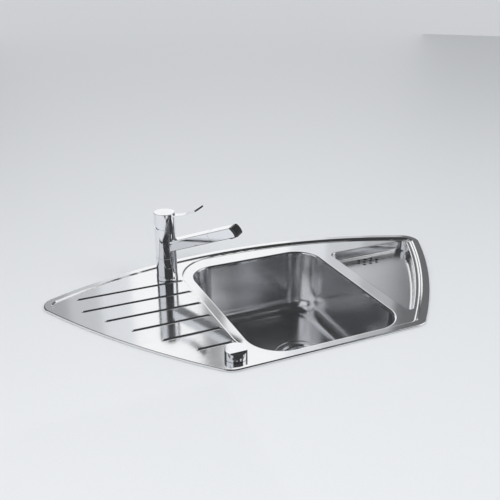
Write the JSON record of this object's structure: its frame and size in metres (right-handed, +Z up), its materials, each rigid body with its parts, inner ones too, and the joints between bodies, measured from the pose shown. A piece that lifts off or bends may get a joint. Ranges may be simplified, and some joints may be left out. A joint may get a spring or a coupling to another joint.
{
  "type": "corner kitchen sink with tap",
  "caption": "Pressed steel corner sink with a grooved drainer, deep bowl and side tray, single-lever pull-out tap, basket waste and waste knob.",
  "frame": {"origin": "on the rim seal's underside, at worktop level, under the middle of the straight front edge", "axes": "+X along the straight front edge to the right, +Y from the front edge to the corner of the room, +Z up"},
  "size_m": [0.9292, 0.5099, 0.4338],
  "materials": {
    "deck_steel": "satin",
    "bowl_steel": "satin",
    "clamp_steel": "zinc plated",
    "seal_rubber": "matte",
    "black_plastic": "moulded",
    "grey_plastic": "moulded",
    "tap_chrome": "polished",
    "tap_brass": "machined brass",
    "nose_black": "semi-gloss",
    "hose_grey": "braided"
  },
  "bodies": {
    "sink": {"sink_deck": "deck_steel", "rim_seal": "seal_rubber", "main_bowl": "bowl_steel", "side_tray": "bowl_steel", "fixing_brackets": "clamp_steel", "clamp_arms": "clamp_steel", "clamp_screws": "clamp_steel", "waste_flange": "bowl_steel", "flange_seal": "seal_rubber", "body_gasket": "seal_rubber", "waste_body": "black_plastic", "waste_outlet": "black_plastic", "waste_screws": "clamp_steel", "drive_box": "black_plastic", "tray_cup_gasket": "seal_rubber", "tray_cup": "black_plastic", "stud_nuts": "clamp_steel", "overflow_pipe": "grey_plastic", "pipe_nuts": "black_plastic", "knob_seal": "seal_rubber", "knob_housing": "black_plastic", "housing_cap": "black_plastic", "knob_cable_gland": "grey_plastic", "housing_nut": "grey_plastic", "tap_seal": "seal_rubber", "tap_base_ring": "tap_chrome", "tap_body": "tap_chrome", "tap_shank": "tap_brass", "inlet_sockets": "tap_brass", "stabiliser": "black_plastic", "tap_washer": "clamp_steel", "tap_nut": "tap_brass", "cartridge_body": "grey_plastic", "cartridge_nut": "tap_brass", "lower_slide_ring": "grey_plastic", "upper_slide_ring": "grey_plastic", "dome_cover": "tap_chrome"},
    "spout": {"spout_body": "tap_chrome", "spout_bush": "grey_plastic"},
    "spray": {"spray_head": "tap_chrome", "spray_nose": "nose_black", "aerator": "nose_black", "spray_stem": "tap_brass", "spray_hose": "hose_grey"},
    "mixer_carrier": {"cartridge_carrier": "grey_plastic"},
    "lever": {"lever_stem": "tap_brass", "lever_cap": "tap_chrome", "lever_blade": "tap_chrome", "lever_end": "nose_black", "set_screw": "clamp_steel"},
    "knob": {"waste_knob": "tap_chrome", "knob_spindle": "grey_plastic", "spindle_clip": "clamp_steel"},
    "drain_lever": {"lift_lever": "grey_plastic"},
    "basket": {"basket_plug": "bowl_steel", "plug_seal": "seal_rubber", "lift_pin": "grey_plastic"}
  },
  "joints": [
    {"name": "spout_swivel", "type": "hinge", "parent": "sink", "child": "spout", "pos_m": [-0.187, 0.407, 0.055], "axis": [0, 0, 1], "range_deg": [-70, 70]},
    {"name": "spray_pull", "type": "slide", "parent": "spout", "child": "spray", "axis": [0.6649, -0.6649, 0.3404], "range_m": [0, 0.085]},
    {"name": "mixer_turn", "type": "hinge", "parent": "sink", "child": "mixer_carrier", "pos_m": [-0.187, 0.407, 0.12], "axis": [0, 0, 1], "range_deg": [-50, 50]},
    {"name": "lever_lift", "type": "hinge", "parent": "mixer_carrier", "child": "lever", "pos_m": [-0.187, 0.407, 0.12], "axis": [-0.7071, -0.7071, 0], "range_deg": [0, 20]},
    {"name": "knob_turn", "type": "hinge", "parent": "sink", "child": "knob", "pos_m": [-0.1787, 0.0344, 0.02], "axis": [0, 0, 1], "range_deg": [0, 90]},
    {"name": "drain_lever_turn", "type": "hinge", "parent": "sink", "child": "drain_lever", "pos_m": [0.057, 0.199, -0.2057], "axis": [1, 0, 0], "range_deg": [0, 30]},
    {"name": "basket_lift", "type": "slide", "parent": "sink", "child": "basket", "axis": [0, 0, 1], "range_m": [0, 0.01047]}
  ],
  "couplings": [
    {"joint": "drain_lever_turn", "follows": "knob_turn", "ratio": 0.33333},
    {"joint": "basket_lift", "follows": "knob_turn", "m_per_rad": 0.0066667}
  ]
}
